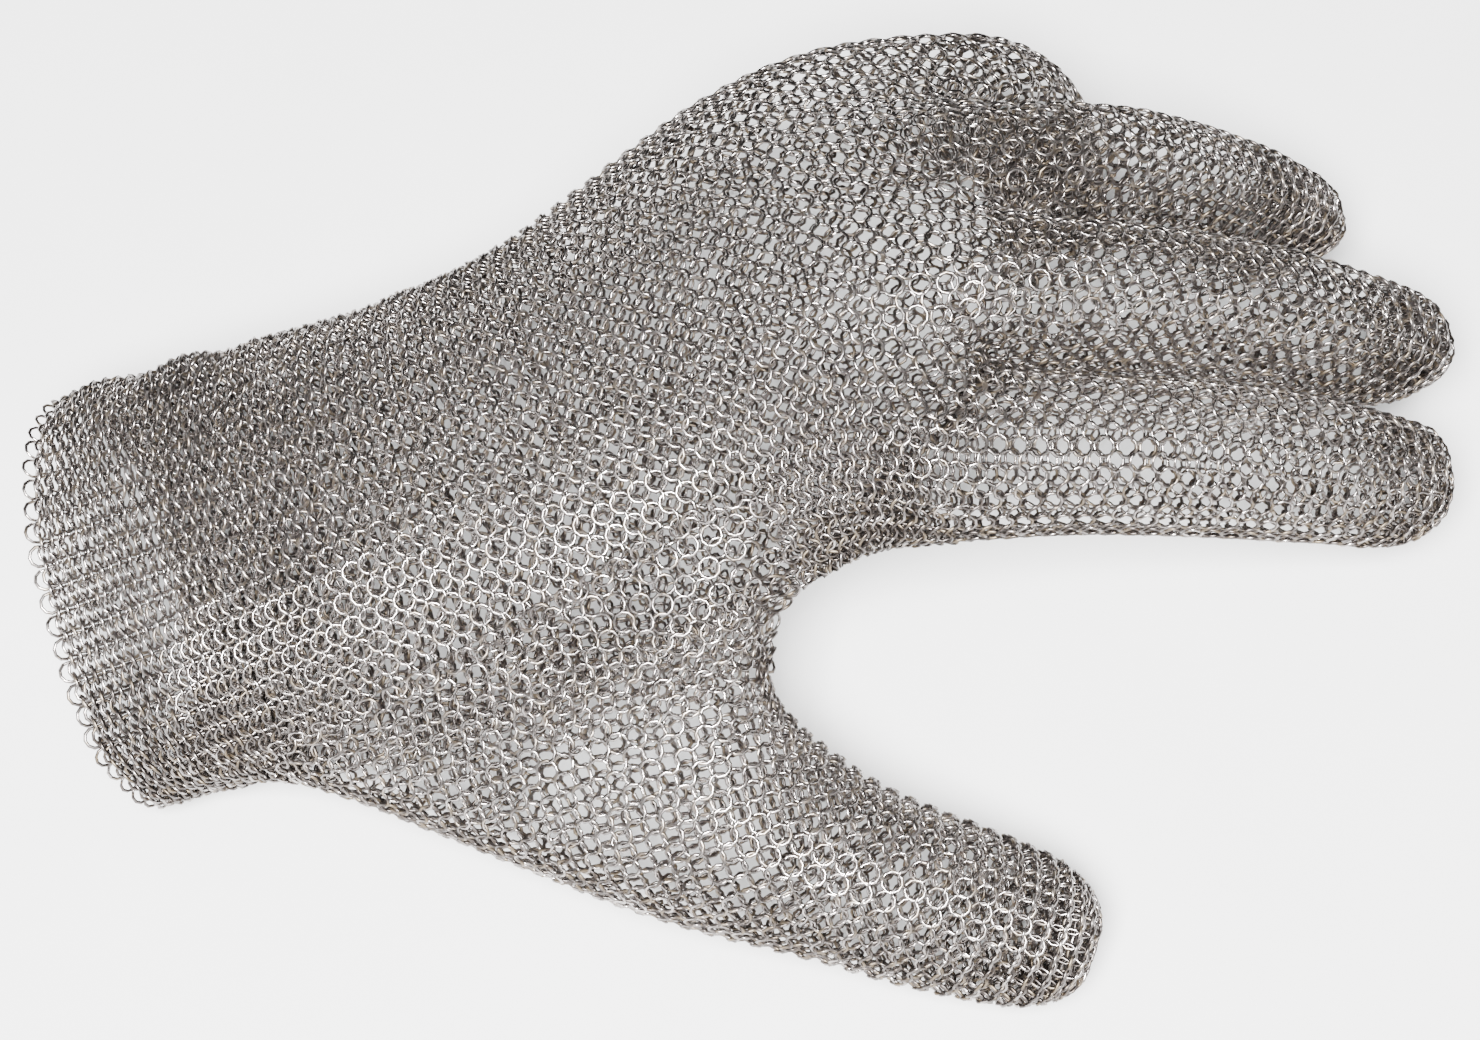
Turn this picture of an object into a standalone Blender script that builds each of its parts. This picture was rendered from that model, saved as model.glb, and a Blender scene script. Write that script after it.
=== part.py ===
"""Ring-mail glove for a left hand, holding the form that it has when it is worn.

Seven pieces of mail, each a hollow wall as thick as the woven rings: a plain cuff,
the hand with its opening for the thumb, the thumb with its wide gusset, and four
fingers with closed tips. All lie on one smooth skin, so each meets the next edge
to edge across a small gap.

The hand runs along +X, its back is up and the little finger is on the +Y side.
The origin is the centre of the wrist opening. Run in Blender 4.5. Metres, +Z up.
"""

import math
from collections import namedtuple

import bpy
import numpy as np

MM = 0.001

# Driving sizes, in millimetres
WALL = 2.0              # thickness of the woven mail
GAP = 0.5               # space between neighbouring pieces, at their outer faces
INNER_GAP = 2.0         # the same at their inner faces, which lean together round a bend
SQUARENESS = 2.3        # 2 is an ellipse, more is a squarer section
EASE = 1.06             # a digit's cage is this much bigger, as smoothing draws the skin in
SMOOTHING = 1           # times that the cage is subdivided
SHARP = 50.0            # edges that bend more than this, in degrees, are shaded sharp

# Cells of the cage round the glove: three on the back and three on the palm for each
# finger, and two down each side of the hand
CELLS_PER_FINGER = 3
FINGERS = 4
ACROSS = CELLS_PER_FINGER * FINGERS
AROUND = 2 * ACROSS + 4
FINGER_CELLS = 4
GUSSET_CELLS = 2
THUMB_CELLS = 4

# A finger's back takes this much of its girth on each side of the middle, and so does
# its palm side
HALF_BACK = 0.11

# The two loops that round off a tip: how far past the last section, as a part of its
# breadth, and their size beside it
TipLoop = namedtuple("TipLoop", "reach size")
TIP_LOOPS = (TipLoop(0.27, 0.89), TipLoop(0.47, 0.58))

# Where the loops of the cage lie along cuff and hand, as fractions of their lengths
CUFF_LOOPS = (0.0, 1.0)
HAND_LOOPS = (0.0, 0.05, 0.2, 0.35, 0.5, 0.65, 0.83, 1.0)

# The thumb opening takes these cells of the hand's loops, between these loops
OPENING = (AROUND - 3, AROUND - 2, AROUND - 1, 0)
OPENING_LOOPS = (1, 5)

# Sections of cuff and hand: centre, breadth, thickness, how far the edges drop, and
# how far the little-finger side is turned up, in degrees
HandRow = namedtuple("HandRow", "x y z wide deep arch roll")
HAND = {
    "rim": HandRow(1.5, 0.0, 0.5, 68.0, 44.0, 0.0, 31.0),
    "cuff": HandRow(19.0, 0.7, 9.2, 68.4, 45.0, 0.0, 27.0),
    "wrist": HandRow(32.0, 0.5, 15.5, 70.0, 44.0, 1.0, 20.0),
    "palm": HandRow(55.0, 3.5, 27.0, 72.6, 38.0, 3.0, 12.0),
    "metacarpals": HandRow(83.0, 11.6, 41.6, 75.6, 34.0, 6.0, 6.0),
    "knuckles": HandRow(108.5, 27.4, 54.0, 92.6, 31.0, 9.0, 3.0),
}
CUFF_END = 1            # the cuff ends at the second section

# Sections of the digits, from web to fingertip: centre, breadth and thickness
Row = namedtuple("Row", "x y z wide deep")
DIGITS = {
    "index_finger": (
        Row(129.5, -0.6, 47.2, 30.6, 29.0),
        Row(155.0, 6.1, 38.8, 29.6, 27.4),
        Row(188.0, 14.5, 21.0, 29.6, 26.4),
        Row(203.5, 18.6, 8.9, 26.0, 23.2),
    ),
    "middle_finger": (
        Row(140.0, 22.5, 56.0, 25.5, 28.0),
        Row(160.0, 27.7, 47.6, 27.4, 27.4),
        Row(189.0, 35.1, 29.2, 26.8, 24.9),
        Row(205.4, 39.8, 14.2, 24.2, 21.8),
    ),
    "ring_finger": (
        Row(142.0, 46.0, 52.5, 25.0, 27.0),
        Row(158.0, 52.2, 45.7, 24.4, 25.4),
        Row(178.5, 61.5, 25.6, 23.2, 22.6),
        Row(191.5, 66.2, 10.4, 20.6, 20.0),
    ),
    "little_finger": (
        Row(135.0, 68.5, 41.5, 23.5, 25.0),
        Row(146.0, 75.0, 31.0, 22.0, 23.0),
        Row(152.5, 79.5, 11.5, 20.5, 20.5),
        Row(154.5, 81.5, -6.0, 18.5, 18.0),
    ),
    "thumb": (
        Row(98.0, -43.0, 11.5, 38.0, 34.0),
        Row(117.0, -50.5, 6.5, 28.5, 28.0),
        Row(133.0, -54.0, 1.5, 27.0, 25.0),
        Row(144.5, -55.5, -3.0, 24.5, 22.0),
    ),
}

# Direction from each digit's thumb side to its little-finger side
SIDEWAYS = {
    "index_finger": (-0.1, 1.0, 0.15),
    "middle_finger": (-0.1, 1.0, 0.0),
    "ring_finger": (-0.1, 1.0, -0.1),
    "little_finger": (-0.1, 1.0, -0.3),
    "thumb": (0.35, 0.8, 0.46),
}

WEB_FACING = np.array((1.0, 0.0, 0.2))      # where the end of the hand faces, at the webs

FINGER_NAMES = ("index_finger", "middle_finger", "ring_finger", "little_finger")
PIECES = ("cuff", "hand", "thumb") + FINGER_NAMES


def unit(vector):
    """Vectors of length one."""
    vector = np.asarray(vector, float)
    return vector / np.linalg.norm(vector, axis=-1, keepdims=True)


def through(rows, fractions):
    """A Catmull-Rom curve through rows, read at fractions of its length."""
    rows = np.asarray(rows, float)
    before = 2 * rows[:1] - rows[1:2]
    after = 2 * rows[-1:] - rows[-2:-1]
    padded = np.concatenate([before, rows, after])
    steps = np.linalg.norm(np.diff(rows[..., :3], axis=0), axis=-1)
    length = np.concatenate([[0.0], np.cumsum(steps.reshape(len(steps), -1).mean(axis=1))])
    places = []
    for place in np.asarray(fractions) * length[-1]:
        span = min(int(np.searchsorted(length, place, side="right")) - 1, len(rows) - 2)
        t = (place - length[span]) / (length[span + 1] - length[span])
        a, b, c, d = padded[span:span + 4]
        places.append(0.5 * (2 * b + (c - a) * t + (2 * a - 5 * b + 4 * c - d) * t ** 2
                             + (3 * b - a - 3 * c + d) * t ** 3))
    return np.array(places)


def section(wide, deep, fractions, arch=0.0):
    """Points (sideways, up) on a rounded section, at fractions of its girth.

    Fraction 0 is the +sideways edge, and they run over the back to the other edge."""
    angle = np.linspace(0.0, 2 * math.pi, 721)
    side = np.sign(np.cos(angle)) * np.abs(np.cos(angle)) ** (2 / SQUARENESS)
    up = np.sign(np.sin(angle)) * np.abs(np.sin(angle)) ** (2 / SQUARENESS)
    outline = np.stack([side * wide / 2, up * deep / 2 - arch * side ** 2], axis=1)
    girth = np.concatenate([[0.0], np.cumsum(np.linalg.norm(np.diff(outline, axis=0), axis=1))])
    places = np.mod(fractions, 1.0) * girth[-1]
    return np.stack([np.interp(places, girth, outline[:, axis]) for axis in (0, 1)], axis=1)


def loop_at(row, along, sideways, fractions):
    """The section of a row as points in space, square to its direction along."""
    up = unit(np.cross(along, sideways))
    side = np.cross(up, along)
    flat = section(row[3], row[4], fractions, *row[5:6])
    return row[:3] + flat[:, :1] * side + flat[:, 1:] * up


def directions(rows):
    """The direction of a centre line at each of its rows."""
    return unit(np.gradient(rows[:, :3], axis=0))


def finger_fractions(name):
    """Places of a finger's cage points on its girth: the back from the thumb side to the
    other, down the little-finger side, the palm, and up the thumb side."""
    back = np.linspace(0.25 + HALF_BACK, 0.25 - HALF_BACK, CELLS_PER_FINGER + 1)
    palm = -back[::-1]
    ends = {"index_finger": [back, palm, [0.5]], "little_finger": [back, [0.0], palm]}
    return np.concatenate(ends.get(name, [back, palm]))


def tip_loops(rows, sideways, fractions):
    """Two shrinking loops that round off a tip."""
    along = directions(rows)[-1]
    last = rows[-1]
    loops = []
    for loop in TIP_LOOPS:
        row = last.copy()
        row[:3] += along * loop.reach * last[3]
        row[3:5] *= loop.size
        loops.append(loop_at(row, along, sideways, fractions))
    return loops


def digit_loops(name, fractions, cells):
    """Cage loops of a digit, from its first section to its tip."""
    rows = through(DIGITS[name], np.linspace(0.0, 1.0, cells + 1))
    rows[:, 3:5] *= EASE
    sideways = unit(SIDEWAYS[name])
    facing = directions(rows)
    if name in FINGER_NAMES:
        facing[0] = unit(facing[0] + WEB_FACING)
    loops = [loop_at(row, along, sideways, fractions) for row, along in zip(rows, facing)]
    return loops + tip_loops(rows, sideways, fractions)


class Cage:
    """Points and four-sided faces of the coarse skin, with a piece named for each face."""

    def __init__(self):
        self.points = []
        self.faces = []
        self.tags = []

    def add(self, loop):
        """Add a loop of points and return their numbers."""
        first = len(self.points)
        self.points.extend(loop)
        return list(range(first, first + len(loop)))

    def face(self, corners, piece):
        """Add a face whose corners run clockwise as seen from outside."""
        self.faces.append(corners[::-1])
        self.tags.append(PIECES.index(piece))

    def band(self, near, far, piece, skip=()):
        """Faces between two closed loops of the same count."""
        for i in range(len(near)):
            j = (i + 1) % len(near)
            if i not in skip:
                self.face((near[i], near[j], far[j], far[i]), piece)

    def tube(self, start, loops, piece):
        """Bands from an existing loop through new ones, returning the last."""
        for loop in loops:
            end = self.add(loop)
            self.band(start, end, piece)
            start = end
        return start

    def cap(self, back, palm, piece):
        """Close a tip between the back of a loop and its palm side, both read one way."""
        for i in range(len(back) - 1):
            self.face((back[i], back[i + 1], palm[i + 1], palm[i]), piece)


def web_loops():
    """Each finger's first loop, with one shared edge between neighbours."""
    loops = {name: digit_loops(name, finger_fractions(name), FINGER_CELLS)[0]
             for name in FINGER_NAMES}
    near = CELLS_PER_FINGER
    for left, right in zip(FINGER_NAMES, FINGER_NAMES[1:]):
        for one, other in ((near, 0), (near + 1, -1)):
            middle = (loops[left][one] + loops[right][other]) / 2
            loops[left][one] = middle
            loops[right][other] = middle
    return loops


def hand_loops(webs):
    """Loops of cuff and hand from the rim to the webs, each from the thumb-side edge of
    the back, over the back, down the far side and back along the palm."""
    step = 1 / AROUND
    fractions = 0.5 - step * (1 + np.arange(AROUND))
    rows = np.array(list(HAND.values()))
    facing = directions(rows)
    facing[-1] = unit(facing[-1] + WEB_FACING)
    loops = []
    for row, along in zip(rows, facing):
        turn = math.radians(row[6])
        loops.append(loop_at(row, along, (0.0, math.cos(turn), math.sin(turn)), fractions))
    back = [webs[FINGER_NAMES[0]][0]]
    palm = [webs[FINGER_NAMES[0]][-2]]
    for name in FINGER_NAMES:
        back.extend(webs[name][1:CELLS_PER_FINGER + 1])
        first = CELLS_PER_FINGER + 1 + (name == "little_finger")
        palm.extend(webs[name][first:first + CELLS_PER_FINGER][::-1])
    far_side = [webs["little_finger"][CELLS_PER_FINGER + 1]]
    near_side = [webs["index_finger"][-1]]
    last = np.array(back + far_side + palm[::-1] + near_side)
    cuff = through(loops[:CUFF_END + 1], CUFF_LOOPS)
    hand = through(loops[CUFF_END:] + [last], HAND_LOOPS)
    return cuff, hand


def build_cage():
    """The whole glove as one coarse skin."""
    cage = Cage()
    webs = web_loops()
    cuff, hand = hand_loops(webs)
    start = cage.tube(cage.add(cuff[0]), cuff[1:], "cuff")

    loops = [start]
    for row, loop in enumerate(hand[1:]):
        loops.append(cage.add(loop))
        beside_thumb = OPENING_LOOPS[0] <= row < OPENING_LOOPS[1]
        cage.band(loops[-2], loops[-1], "hand", skip=OPENING if beside_thumb else ())
    fingers(cage, loops[-1])
    thumb(cage, loops[OPENING_LOOPS[0]:OPENING_LOOPS[1] + 1])
    cage.points = np.array(cage.points) - HAND["rim"][:3]
    return cage


def fingers(cage, web):
    """Four fingers on the last loop of the hand, neighbours sharing the edge of a web."""
    back = web[:ACROSS + 1]
    palm = web[ACROSS + 2:2 * ACROSS + 3][::-1]
    n = CELLS_PER_FINGER
    for i, name in enumerate(FINGER_NAMES):
        start = back[i * n:i * n + n + 1] + palm[i * n:i * n + n + 1][::-1]
        if name == "index_finger":
            start = start + [web[-1]]
        if name == "little_finger":
            start = start[:n + 1] + [web[ACROSS + 1]] + start[n + 1:]
        loops = digit_loops(name, finger_fractions(name), FINGER_CELLS)[1:]
        end = cage.tube(start, loops, name)
        close_tip(cage, end, name)


def close_tip(cage, end, name):
    """Faces over a fingertip, from the back to the palm."""
    n = CELLS_PER_FINGER
    back = end[:n + 1]
    first = n + 1 + (name == "little_finger")
    palm = end[first:first + n + 1][::-1]
    cage.cap(back, palm, name)
    if name == "index_finger":
        cage.face((end[0], palm[0], end[-1]), name)
    if name == "little_finger":
        cage.face((end[n], end[n + 1], palm[-1]), name)


def thumb(cage, loops):
    """The gusset and thumb on the edge of the opening. The edge is read over the back from
    the wrist, down the web, along the palm to the wrist and up again."""
    long_side = len(loops) - 1
    short_side = len(OPENING)
    first, last = OPENING[0], OPENING[-1] + 1
    back_edge = [loop[last] for loop in loops]
    palm_edge = [loop[first] for loop in loops][::-1]
    web_edge = [loops[-1][i] for i in OPENING[:0:-1]]
    wrist_edge = [loops[0][i] for i in OPENING[1:]]
    edge = back_edge + web_edge + palm_edge + wrist_edge
    count = len(edge)
    fractions = (long_side + short_side / 2 - np.arange(count)) / count
    loops = digit_loops("thumb", fractions, THUMB_CELLS)
    rim = np.array([cage.points[i] for i in edge])
    gusset = [rim + (loops[0] - rim) * (k + 1) / GUSSET_CELLS for k in range(GUSSET_CELLS - 1)]
    end = cage.tube(edge, gusset + loops, "thumb")
    end = end + end[:1]
    corners = np.cumsum([0, long_side, short_side, long_side, short_side])
    back, web, palm, outer = [end[a:b + 1] for a, b in zip(corners, corners[1:])]
    grid_cap(cage, back, palm[::-1], outer[::-1], web, "thumb")


def grid_cap(cage, back, palm, near, far, piece):
    """Fill a loop with a grid of faces between its back and palm sides."""
    points = np.array(cage.points)
    grid = np.zeros((len(near), len(back)), int)
    grid[0], grid[-1] = back, palm
    grid[:, 0], grid[:, -1] = near, far
    for i in range(1, len(near) - 1):
        for j in range(1, len(back) - 1):
            u = j / (len(back) - 1)
            v = i / (len(near) - 1)
            place = ((1 - v) * points[back[j]] + v * points[palm[j]]
                     + (1 - u) * points[near[i]] + u * points[far[i]]) / 2
            grid[i, j] = cage.add([place])[0]
    for i in range(len(near) - 1):
        for j in range(len(back) - 1):
            cage.face((grid[i, j], grid[i, j + 1], grid[i + 1, j + 1], grid[i + 1, j]), piece)


def collection(name):
    """A new collection in the scene."""
    group = bpy.data.collections.new(name)
    bpy.context.scene.collection.children.link(group)
    return group


def smooth_skin(cage, guides):
    """The cage as a guide object, and its smoothed skin as arrays."""
    mesh = bpy.data.meshes.new("glove_cage")
    mesh.from_pydata([tuple(p * MM) for p in np.array(cage.points)], [], cage.faces)
    mesh.polygons.foreach_set("material_index", cage.tags)
    for _ in PIECES:
        mesh.materials.append(None)
    guide = bpy.data.objects.new("glove_cage", mesh)
    guides.objects.link(guide)
    guide.hide_render = True
    guide.display_type = "WIRE"
    smooth = guide.modifiers.new("smooth", "SUBSURF")
    smooth.levels = SMOOTHING
    smooth.render_levels = SMOOTHING
    bpy.context.view_layer.update()
    result = guide.evaluated_get(bpy.context.evaluated_depsgraph_get()).to_mesh()
    points = np.array([v.co[:] for v in result.vertices]) / MM
    normals = np.array([v.normal[:] for v in result.vertices])
    faces = [tuple(p.vertices) for p in result.polygons]
    tags = [p.material_index for p in result.polygons]
    return points, normals, faces, tags


def main():
    for thing in list(bpy.data.objects):
        bpy.data.objects.remove(thing)
    guides = collection("glove_guides")
    parts = collection("mail_glove")
    points, normals, faces, tags = smooth_skin(build_cage(), guides)
    for index, name in enumerate(PIECES):
        build_piece(name, index, points, normals, faces, tags, parts)


def build_piece(name, index, points, normals, faces, tags, parts):
    """One piece: its part of the skin, given a wall, and drawn back from its neighbours."""
    own = [face for face, tag in zip(faces, tags) if tag == index]
    others = [face for face, tag in zip(faces, tags) if tag != index]
    used = sorted({i for face in own for i in face})
    number = {old: new for new, old in enumerate(used)}
    outer, inner = [(layer + gap / 2 * away_from(others, own, layer, normals))[used]
                    for layer, gap in ((points, GAP), (points - WALL * normals, INNER_GAP))]
    count = len(used)
    walls = [tuple(number[i] for i in face) for face in own]
    edges = {(face[k], face[(k + 1) % len(face)]) for face in walls for k in range(len(face))}
    rims = [(b, a, a + count, b + count) for a, b in edges if (b, a) not in edges]
    inside = [tuple(i + count for i in reversed(face)) for face in walls]
    mesh = bpy.data.meshes.new(name)
    mesh.from_pydata([tuple(p * MM) for p in np.concatenate([outer, inner])], [],
                     walls + inside + sorted(rims))
    mesh.materials.append(steel(name))
    mesh.shade_smooth()
    mesh.set_sharp_from_angle(angle=math.radians(SHARP))
    parts.objects.link(bpy.data.objects.new(name, mesh))


def away_from(others, own, points, normals):
    """Directions along the skin, away from the neighbours, at a piece's shared edge points.
    They are zero elsewhere."""
    means = []
    counts = []
    for group in (own, others):
        total = np.zeros_like(points)
        uses = np.zeros((len(points), 1))
        for face in group:
            total[list(face)] += points[list(face)].mean(axis=0)
            uses[list(face)] += 1
        means.append(total / np.maximum(uses, 1))
        counts.append(uses[:, 0])
    away = means[0] - means[1]
    away -= (away * normals).sum(axis=1, keepdims=True) * normals
    shared = (counts[0] > 0) & (counts[1] > 0)
    away[shared] = unit(away[shared])
    away[~shared] = 0.0
    return away


def steel(name):
    """Stainless steel of one piece."""
    material = bpy.data.materials.new(name + "_steel")
    material.use_nodes = True
    shader = material.node_tree.nodes["Principled BSDF"]
    shader.inputs["Base Color"].default_value = (0.55, 0.54, 0.51, 1.0)
    shader.inputs["Metallic"].default_value = 1.0
    shader.inputs["Roughness"].default_value = 0.35
    return material


if __name__ == "__main__":
    main()
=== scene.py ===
"""Looks of the ring-mail glove: woven steel rings on the glove's skin, on a pale floor.

The rings follow a four-in-one weave, in which a ring holds two rings of the row on
either side. Rows of rings run along the hand and the fingers. The rings of one row lean
towards the fingertips and those of the next row lean back. The thumb and its gusset are
a sheet of their own, whose rows run along the thumb.

Rings are placed by rule and don't push each other away. About three quarters of them
hold four others, a few hold none, and the wires of most cut into a neighbour's.

The skin is the same smoothed cage that the glove's solid walls are cut from.
"""

import functools
import math
from collections import namedtuple

import bpy
import numpy as np
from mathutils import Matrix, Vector, noise
from mathutils.bvhtree import BVHTree


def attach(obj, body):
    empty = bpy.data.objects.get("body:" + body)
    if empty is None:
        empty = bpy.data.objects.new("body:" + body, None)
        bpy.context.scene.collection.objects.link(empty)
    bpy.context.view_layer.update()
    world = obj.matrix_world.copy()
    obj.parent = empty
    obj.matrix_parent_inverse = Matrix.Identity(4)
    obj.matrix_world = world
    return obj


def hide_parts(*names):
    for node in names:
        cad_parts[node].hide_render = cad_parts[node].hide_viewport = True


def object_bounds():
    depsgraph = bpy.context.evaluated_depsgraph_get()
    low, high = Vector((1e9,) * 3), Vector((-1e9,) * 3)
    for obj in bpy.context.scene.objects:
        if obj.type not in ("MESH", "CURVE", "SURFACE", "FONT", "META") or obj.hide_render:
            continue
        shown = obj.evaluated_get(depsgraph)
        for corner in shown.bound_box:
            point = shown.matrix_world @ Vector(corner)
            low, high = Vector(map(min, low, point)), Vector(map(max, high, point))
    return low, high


bl_info = {
    "name": "Ring-mail glove",
    "version": (1, 0, 0),
    "blender": (4, 5, 0),
    "location": "View3D > Sidebar > Mail glove",
    "description": "Weaves a steel ring-mail glove and sets it on a pale floor",
    "category": "Object",
}

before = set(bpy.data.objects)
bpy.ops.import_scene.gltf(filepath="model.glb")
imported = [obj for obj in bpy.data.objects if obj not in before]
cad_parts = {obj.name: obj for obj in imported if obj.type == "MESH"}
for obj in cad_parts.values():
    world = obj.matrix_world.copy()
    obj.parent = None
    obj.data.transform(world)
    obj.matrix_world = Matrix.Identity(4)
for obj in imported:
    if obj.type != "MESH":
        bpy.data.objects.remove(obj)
CAD_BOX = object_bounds()

MM = 0.001

# The glove's skin, in millimetres, as its solid walls are made from it
WALL = 2.0              # thickness of the mail
SQUARENESS = 2.3        # 2 is an ellipse, more is a squarer section
SECTION_POINTS = 721    # points that a section's outline is measured by
EASE = 1.06             # a digit's cage is this much bigger, as smoothing draws the skin in
FINGER_NAMES = ("index_finger", "middle_finger", "ring_finger", "little_finger")
PIECES = ("cuff", "hand", "thumb") + FINGER_NAMES
CUFF_END = 1            # the cuff ends at the second section

# Sections of cuff and hand: their middle, width, depth, arch, and roll in degrees
HAND = {
    "rim": (1.5, 0.0, 0.5, 68.0, 44.0, 0.0, 31.0),
    "cuff": (19.0, 0.7, 9.2, 68.4, 45.0, 0.0, 27.0),
    "wrist": (32.0, 0.5, 15.5, 70.0, 44.0, 1.0, 20.0),
    "palm": (55.0, 3.5, 27.0, 72.6, 38.0, 3.0, 12.0),
    "metacarpals": (83.0, 11.6, 41.6, 75.6, 34.0, 6.0, 6.0),
    "knuckles": (108.5, 27.4, 54.0, 92.6, 31.0, 9.0, 3.0),
}
# Sections of the digits: their middle, width and depth
DIGITS = {
    "index_finger": (
        (129.5, -0.6, 47.2, 30.6, 29.0),
        (155.0, 6.1, 38.8, 29.6, 27.4),
        (188.0, 14.5, 21.0, 29.6, 26.4),
        (203.5, 18.6, 8.9, 26.0, 23.2),
    ),
    "middle_finger": (
        (140.0, 22.5, 56.0, 25.5, 28.0),
        (160.0, 27.7, 47.6, 27.4, 27.4),
        (189.0, 35.1, 29.2, 26.8, 24.9),
        (205.4, 39.8, 14.2, 24.2, 21.8),
    ),
    "ring_finger": (
        (142.0, 46.0, 52.5, 25.0, 27.0),
        (158.0, 52.2, 45.7, 24.4, 25.4),
        (178.5, 61.5, 25.6, 23.2, 22.6),
        (191.5, 66.2, 10.4, 20.6, 20.0),
    ),
    "little_finger": (
        (135.0, 68.5, 41.5, 23.5, 25.0),
        (146.0, 75.0, 31.0, 22.0, 23.0),
        (152.5, 79.5, 11.5, 20.5, 20.5),
        (154.5, 81.5, -6.0, 18.5, 18.0),
    ),
    "thumb": (
        (98.0, -43.0, 11.5, 38.0, 34.0),
        (117.0, -50.5, 6.5, 28.5, 28.0),
        (133.0, -54.0, 1.5, 27.0, 25.0),
        (144.5, -55.5, -3.0, 24.5, 22.0),
    ),
}
# The way across each digit, towards the little finger
SIDEWAYS = {
    "index_finger": (-0.1, 1.0, 0.15),
    "middle_finger": (-0.1, 1.0, 0.0),
    "ring_finger": (-0.1, 1.0, -0.1),
    "little_finger": (-0.1, 1.0, -0.3),
    "thumb": (0.35, 0.8, 0.46),
}
WEB_FACING = np.array((1.0, 0.0, 0.2))      # turns the sections at the webs

# How finely a layout divides the glove: cells on the back of a finger, on its web side
# and on the free side of the outer fingers, how much of a finger's girth its back takes on
# each side of the middle, and how far on and how big the loops of a tip are
Layout = namedtuple("Layout", "back web side half_back tip_loops")
CAGE = Layout(3, 1, 2, 0.11, ((0.27, 0.89), (0.47, 0.58)))
WEAVE = Layout(5, 4, 4, 5 / 36, ((0.14, 0.97), (0.27, 0.89), (0.38, 0.75), (0.47, 0.58)))

# The cage alone: loops along cuff and hand, the opening for the thumb, and the digits
CUFF_LOOPS = (0.0, 1.0)
HAND_LOOPS = (0.0, 0.05, 0.2, 0.35, 0.5, 0.65, 0.83, 1.0)
OPENING_CELLS = (-3, -2, -1, 0)
OPENING_LOOPS = (1, 5)
DIGIT_CELLS = 4
GUSSET_CELLS = 2
SKIN_DETAIL = 3         # times that the cage is subdivided

# The weave alone
FINE_LOOPS = 25         # loops that cuff and hand are measured by before their rows are set
FINE_ROWS = 101         # places where the distance of the rows is read
RIM_INSET = 0.4         # the first row sits this part of a cell inside the rim
# Places along cuff and hand, from 0 to 1, and how far apart their rows are there
CUFF_PITCH = ((0.0, 0.63), (1.0, 0.63))
HAND_PITCH = ((0.0, 0.63), (0.12, 0.72), (0.3, 0.93), (0.75, 0.93), (1.0, 1.15))
DIGIT_PITCH = 1.15      # rows over a digit are this much farther apart, as it fills them
SETTLE_ROUNDS = 50      # times that a sheet's cells are evened out
THUMB_BACK = 8          # cells over the back of the thumb, and as many over its palm side
THUMB_SIDE = 6          # cells down each side of the thumb
GUSSET_ROWS = 40        # the most cells that the thumb's rows run back over the gusset
SEAM_PITCH = 2.3        # millimetres between the rings that join the thumb to the hand
SEAM_CLEAR = 1.1        # millimetres that the other rings keep from the seam
SEAM_LEAN = 24.0        # degrees
WRIST_END = 45.0        # millimetres from the rim, where the mail of the wrist ends
TAUT_REACH = 26.0       # millimetres of mail on the back that the thumb's seam pulls flat
TAUT_FLATNESS = 0.6     # how much of their lean the rings on the seam lose there
RUBBED_BACK = 0.5       # how clean the back is rubbed past the wrist, where 1 is bright steel
SIDE_TOP, SIDE_LOW = 0.7, 0.1   # upward parts of a ring's normal, from rubbed mail to mail in full painted shade
SIDE_SHADE = 3.0         # how much darker and duller the sides and palm are painted, as painted shade
PUCKER_HEIGHT = 1.3     # millimetres that loose mail puckers out of its layer
PUCKER_REST = 0.12      # millimetres that taut mail does
PUCKER_LENGTH = 9.0     # millimetres
PUCKER_STEP = 0.2       # millimetres over which the slope of a pucker is read
PUCKER_FROM, PUCKER_TO = 22.0, 60.0     # millimetres from the rim, from loose to taut
WIDE_CELL = 5.2         # millimetres, past which a cell is woven as two or more
CAP_WEIGHT = 0.001      # how much a fingertip's cap turns the rings on its edge
LEAN_SLACK = 0.92       # how much of its room a ring's lean takes
LEAN_LEAST = 10.0       # degrees
LEAN_MOST = 52.0
LEAN_ROUNDS = 8         # times that the rings' leans are evened out

# Rings
RING_SIDES = 10
WIRE_SIDES = 4
SEED = 7
RING_INPUTS = (
    ("Ring diameter", "NodeSocketFloat"),
    ("Wire diameter", "NodeSocketFloat"),
    ("Ring sides", "NodeSocketInt"),
    ("Wire sides", "NodeSocketInt"),
    ("Shake", "NodeSocketFloat"),
    ("Seed", "NodeSocketInt"),
    ("Material", "NodeSocketMaterial"),
)
# Names of the points' attributes; the last holds wear and the painted shade of the sides and palm
OUTWARD, ALONG, LEAN, WEAR_AND_SHADE = "outward", "along", "lean", "rubbed"
TONE_AND_SHADE, ROUND = "tone", "round"
BODY = "root"

# Patterns on wire and floor: cells to the metre, detail, and what is read as 0 and as 1
Pattern = namedtuple("Pattern", "scale detail low high")
PATCHES = Pattern(55.0, 3.0, 0.38, 0.66)
SPECKS = Pattern(900.0, 2.0, 0.45, 0.75)
WEAR = Pattern(340.0, 4.0, 0.3, 0.7)
GRAIN = Pattern(30.0, 4.0, 0.3, 0.7)
NOISE_ROUGHNESS = 0.6
SCRATCH_SCALE, SCRATCH_DETAIL = 2600.0, 2.0
SCRATCH_STRENGTH, SCRATCH_DEPTH = 0.18, 0.04 * MM

# Steel: shares of patches, of each ring's own tone, which also carries the painted shade of the
# sides and palm, and of specks in how dull the wire is, and what is read of their sum as bright
# and as dull
DULL_PATCHES, DULL_TONE, DULL_SPECKS = 0.45, 0.55, 0.25
DULL_LOW, DULL_HIGH = 0.15, 1.1
TARNISH_SHARE, WELD_SHARE = 0.35, 0.6
WELD_EDGE, WELD_MIDDLE = 0.12, 0.03     # parts of a turn from the middle of the weld
ROUGH_DULL, ROUGH_WEAR, ROUGH_WELD = 0.16, 0.10, 0.12

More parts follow.
